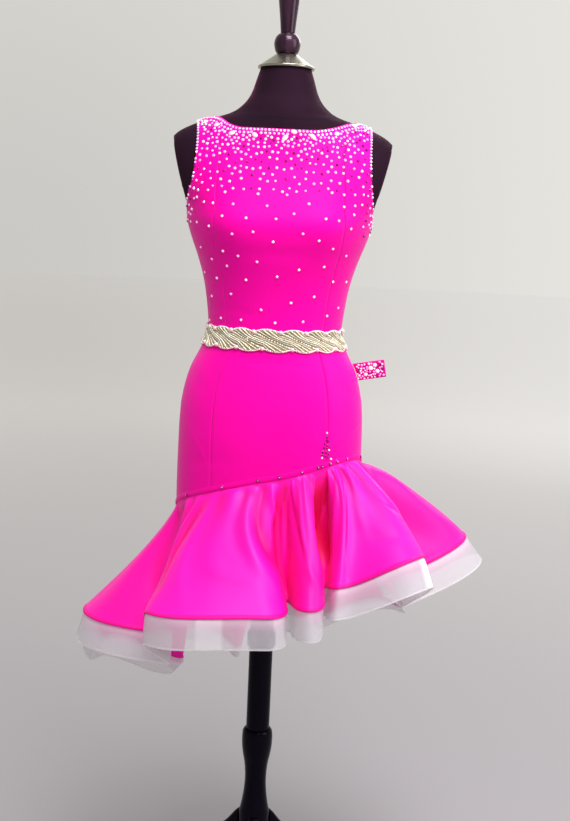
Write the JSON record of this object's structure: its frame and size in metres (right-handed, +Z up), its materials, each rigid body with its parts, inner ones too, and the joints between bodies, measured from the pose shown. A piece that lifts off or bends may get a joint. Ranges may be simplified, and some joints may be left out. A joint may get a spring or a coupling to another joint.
{
  "type": "rumba dance dress on a dress form",
  "caption": "Sleeveless fuchsia rumba dress with a stoned bodice, beaded belt and slanting flounced hem edged in stiff horsehair, on a limbless dress form with a turned tripod stand.",
  "frame": {"origin": "middle of the overall floor plan, on the floor", "axes": "+Z is up, the front of the dress faces -Y and the wearer's left hip with the tab is at +X; the mast stands at x -25.5 mm, y -36.5 mm"},
  "size_m": [0.7272, 0.621, 1.79],
  "materials": {
    "fuchsia_lycra": "soft sheen of stretch lycra with a raised pattern of iridescent stones",
    "fuchsia_satin": "glossy stretch satin",
    "white_horsehair": "sheer stiff woven nylon braid",
    "cream_gold_braid": "beaded braid with pearly and gold beads",
    "stoned_strip": "lycra strip set all over with iridescent stones",
    "black_jersey": "matt purple-black jersey with a faint mauve bloom at grazing angles",
    "black_lacquer": "glossy black lacquer",
    "nickel": "polished nickel plate"
  },
  "bodies": {
    "stand": {"column": "black_lacquer", "clamp_screw": "nickel", "leg_front": "black_lacquer", "leg_left": "black_lacquer", "leg_right": "black_lacquer"},
    "mast": {"upper_post": "black_lacquer", "post_collar": "black_lacquer"},
    "form": {"bodice_front": "fuchsia_lycra", "bodice_side_left": "fuchsia_lycra", "bodice_side_right": "fuchsia_lycra", "bodice_back_left": "fuchsia_lycra", "bodice_back_right": "fuchsia_lycra", "skirt_front": "fuchsia_lycra", "skirt_side_left": "fuchsia_lycra", "skirt_side_right": "fuchsia_lycra", "skirt_back_left": "fuchsia_lycra", "skirt_back_right": "fuchsia_lycra", "flounce": "fuchsia_satin", "horsehair_band": "white_horsehair", "hip_band": "fuchsia_lycra", "waist_belt": "cream_gold_braid", "hip_tab": "stoned_strip", "form_torso": "black_jersey", "arm_plate_left": "black_jersey", "arm_plate_right": "black_jersey", "neck_cap": "nickel", "finial_ball": "black_lacquer", "finial_spindle": "black_lacquer", "form_flange": "black_lacquer"}
  },
  "joints": [
    {"name": "height_slide", "type": "slide", "parent": "stand", "child": "mast", "axis": [0, 0, 1], "range_m": [0, 0.15]},
    {"name": "form_swivel", "type": "hinge", "parent": "mast", "child": "form", "pos_m": [-0.0255, -0.0365, 0.737], "axis": [0, 0, 1], "continuous": true}
  ]
}
